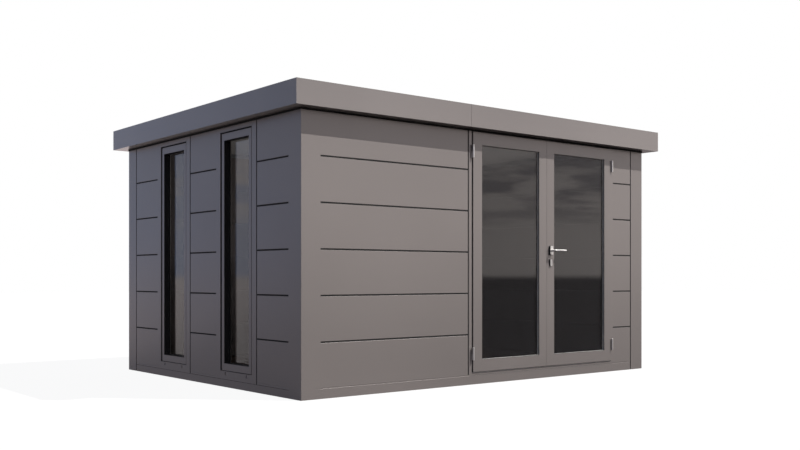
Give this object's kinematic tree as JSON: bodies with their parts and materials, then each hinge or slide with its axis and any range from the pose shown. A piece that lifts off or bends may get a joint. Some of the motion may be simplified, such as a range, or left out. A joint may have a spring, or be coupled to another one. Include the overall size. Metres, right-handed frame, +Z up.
{
  "type": "metal garden shed",
  "caption": "Flat-roofed metal garden shed with grooved wall panels, a pair of glazed doors that open outwards, a lever handle and tall side windows.",
  "frame": {"origin": "centre of the shed's base, on the ground", "axes": "+X to the right along the front, +Y from the front with the doors to the back, +Z up"},
  "size_m": [4.122, 3.218, 2.274],
  "materials": {
    "grey_steel": "satin powder coat",
    "roof_sheet": "satin powder coat",
    "galvanized_steel": "galvanized",
    "stainless_steel": "satin",
    "black_rubber": "matt",
    "floor_board": "film-faced plywood",
    "glass": "clear, slightly tinted"
  },
  "bodies": {
    "shed": {"back_wall_panel_left": "grey_steel", "back_wall_panel_middle": "grey_steel", "back_wall_panel_right": "grey_steel", "base_long_rails": "grey_steel", "base_short_rails": "grey_steel", "corner_post_back_left": "grey_steel", "corner_post_back_right": "grey_steel", "corner_post_front_left": "grey_steel", "corner_post_front_right": "grey_steel", "door_head": "grey_steel", "door_jamb_left": "grey_steel", "door_jamb_right": "grey_steel", "door_threshold": "grey_steel", "fascia_back": "grey_steel", "fascia_front_left": "grey_steel", "fascia_front_right": "grey_steel", "fascia_left": "grey_steel", "fascia_right": "grey_steel", "floor_deck": "floor_board", "floor_joists": "galvanized_steel", "front_right_panel": "grey_steel", "front_wall_panel": "grey_steel", "left_jamb_hinges": "stainless_steel", "left_wall_panel_back": "grey_steel", "left_wall_panel_front": "grey_steel", "left_wall_panel_middle": "grey_steel", "left_window_back_frame": "grey_steel", "left_window_back_glass": "glass", "left_window_back_seal": "black_rubber", "left_window_front_frame": "grey_steel", "left_window_front_glass": "glass", "left_window_front_seal": "black_rubber", "left_window_surround_back": "grey_steel", "left_window_surround_front": "grey_steel", "right_jamb_hinges": "stainless_steel", "right_wall_panel_back": "grey_steel", "right_wall_panel_front": "grey_steel", "right_wall_panel_middle": "grey_steel", "roof_long_beams": "galvanized_steel", "roof_panel_1": "roof_sheet", "roof_panel_2": "roof_sheet", "roof_panel_3": "roof_sheet", "roof_panel_4": "roof_sheet", "roof_short_beams": "galvanized_steel"},
    "left_door": {"left_door_frame": "grey_steel", "left_door_glass": "glass", "left_door_seal": "black_rubber", "left_door_hinges": "stainless_steel"},
    "right_door": {"right_door_frame": "grey_steel", "right_door_glass": "glass", "right_door_seal": "black_rubber", "right_door_hinges": "stainless_steel", "right_door_lock_set": "stainless_steel"},
    "handle": {"door_lever": "stainless_steel"}
  },
  "joints": [
    {"name": "left_door_hinge", "type": "hinge", "parent": "shed", "child": "left_door", "pos_m": [-0.287, -1.518, 0.253], "axis": [0, 0, -1], "range_deg": [0, 115]},
    {"name": "right_door_hinge", "type": "hinge", "parent": "shed", "child": "right_door", "pos_m": [1.486, -1.518, 0.253], "axis": [0, 0, 1], "range_deg": [0, 115]},
    {"name": "handle_turn", "type": "hinge", "parent": "right_door", "child": "handle", "pos_m": [0.648, -1.5, 1.116], "axis": [0, 1, 0], "range_deg": [0, 35], "stiffness_Nm_per_rad": 1.5, "springref_deg": -34.38}
  ]
}
